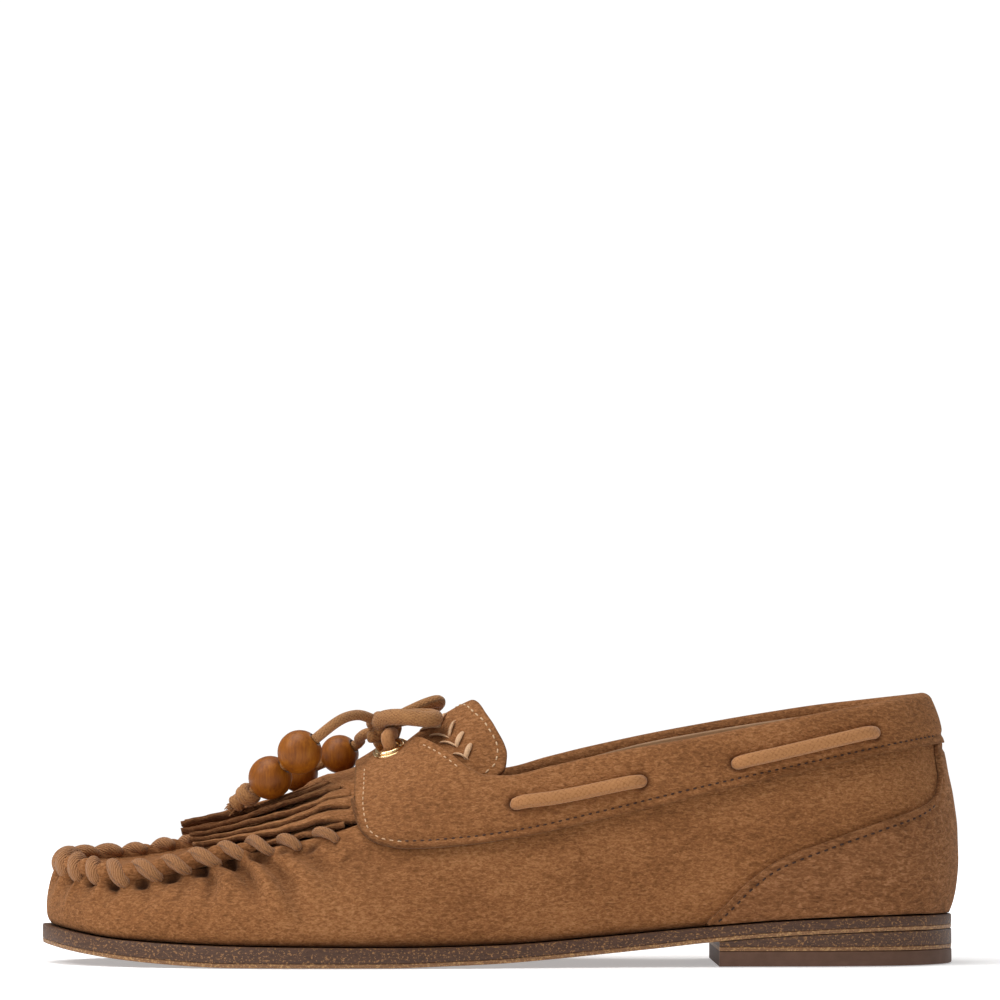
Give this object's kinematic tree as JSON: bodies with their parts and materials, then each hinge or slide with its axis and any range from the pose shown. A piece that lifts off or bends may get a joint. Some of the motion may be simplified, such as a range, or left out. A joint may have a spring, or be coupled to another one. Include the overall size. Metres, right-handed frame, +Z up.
{
  "type": "moccasin",
  "caption": "Low suede moccasin with a whip-stitched toe plug, fringed kiltie, laced collar tied in a bow with wooden beads, and a low stacked heel.",
  "frame": {"origin": "on the floor plane, under the centre of the sole's outline", "axes": "the toe points to -X and the heel to +X, the outer (lateral) side faces -Y, +Z is up"},
  "size_m": [0.262, 0.0896, 0.0774],
  "materials": {
    "suede": "napped suede",
    "sole_leather": "stained, grained edge",
    "rubber": "matte",
    "board": "pressed fibre board, matte",
    "foam": "open cell foam, matte",
    "lining": "smooth lining leather",
    "steel": "rolled strip",
    "gold": "polished plating",
    "cord": "matte wrapped cord",
    "wood": "varnished"
  },
  "bodies": {
    "shoe": {"upper_wrap": "suede", "plug_apron": "suede", "kiltie_fringe": "suede", "tongue": "suede", "heel_foxing": "suede", "collar_band_lateral": "suede", "collar_band_medial": "suede", "outsole": "sole_leather", "heel_lift": "sole_leather", "heel_top_piece": "rubber", "bottom_filler": "board", "shank": "steel", "insole_board": "board", "footbed_foam": "foam", "sock_liner": "lining", "heel_counter": "board", "heel_grip": "lining", "collar_foam_lateral": "foam", "collar_foam_medial": "foam", "collar_lining_lateral": "lining", "collar_lining_medial": "lining", "vamp_lining": "lining", "quarter_lining_lateral": "lining", "quarter_lining_medial": "lining", "eyelet_lateral": "gold", "eyelet_medial": "gold", "whip_lace": "cord", "side_lace": "cord", "bow_knot": "cord", "bow_loop_lateral": "cord", "bow_loop_medial": "cord"},
    "hanging_end_lateral": {"lace_end_lateral": "cord", "end_knot_lateral": "cord"},
    "bead_lateral_1": {"bead_lateral_1": "wood"},
    "bead_lateral_2": {"bead_lateral_2": "wood"},
    "hanging_end_medial": {"lace_end_medial": "cord", "end_knot_medial": "cord"},
    "bead_medial_1": {"bead_medial_1": "wood"},
    "bead_medial_2": {"bead_medial_2": "wood"}
  },
  "joints": [
    {"name": "swing_lateral", "type": "hinge", "parent": "shoe", "child": "hanging_end_lateral", "pos_m": [-0.037, -0.004, 0.0693], "axis": [0, 1, 0], "range_deg": [0, 60]},
    {"name": "bead_spin_lateral_1", "type": "hinge", "parent": "hanging_end_lateral", "child": "bead_lateral_1", "pos_m": [-0.0567, -0.0136, 0.0596], "axis": [-0.7448, 0.2629, -0.6134], "continuous": true},
    {"name": "bead_spin_lateral_2", "type": "hinge", "parent": "hanging_end_lateral", "child": "bead_lateral_2", "pos_m": [-0.0653, -0.008, 0.0524], "axis": [-0.7029, 0.4283, -0.5679], "continuous": true},
    {"name": "swing_medial", "type": "hinge", "parent": "shoe", "child": "hanging_end_medial", "pos_m": [-0.0386, 0.004, 0.065], "axis": [0, 1, 0], "range_deg": [0, 60]},
    {"name": "bead_spin_medial_1", "type": "hinge", "parent": "hanging_end_medial", "child": "bead_medial_1", "pos_m": [-0.0464, 0.0132, 0.0592], "axis": [-0.8086, 0.3675, -0.4594], "continuous": true},
    {"name": "bead_spin_medial_2", "type": "hinge", "parent": "hanging_end_medial", "child": "bead_medial_2", "pos_m": [-0.0582, 0.0164, 0.0536], "axis": [-0.9078, 0.0873, -0.4103], "continuous": true}
  ]
}
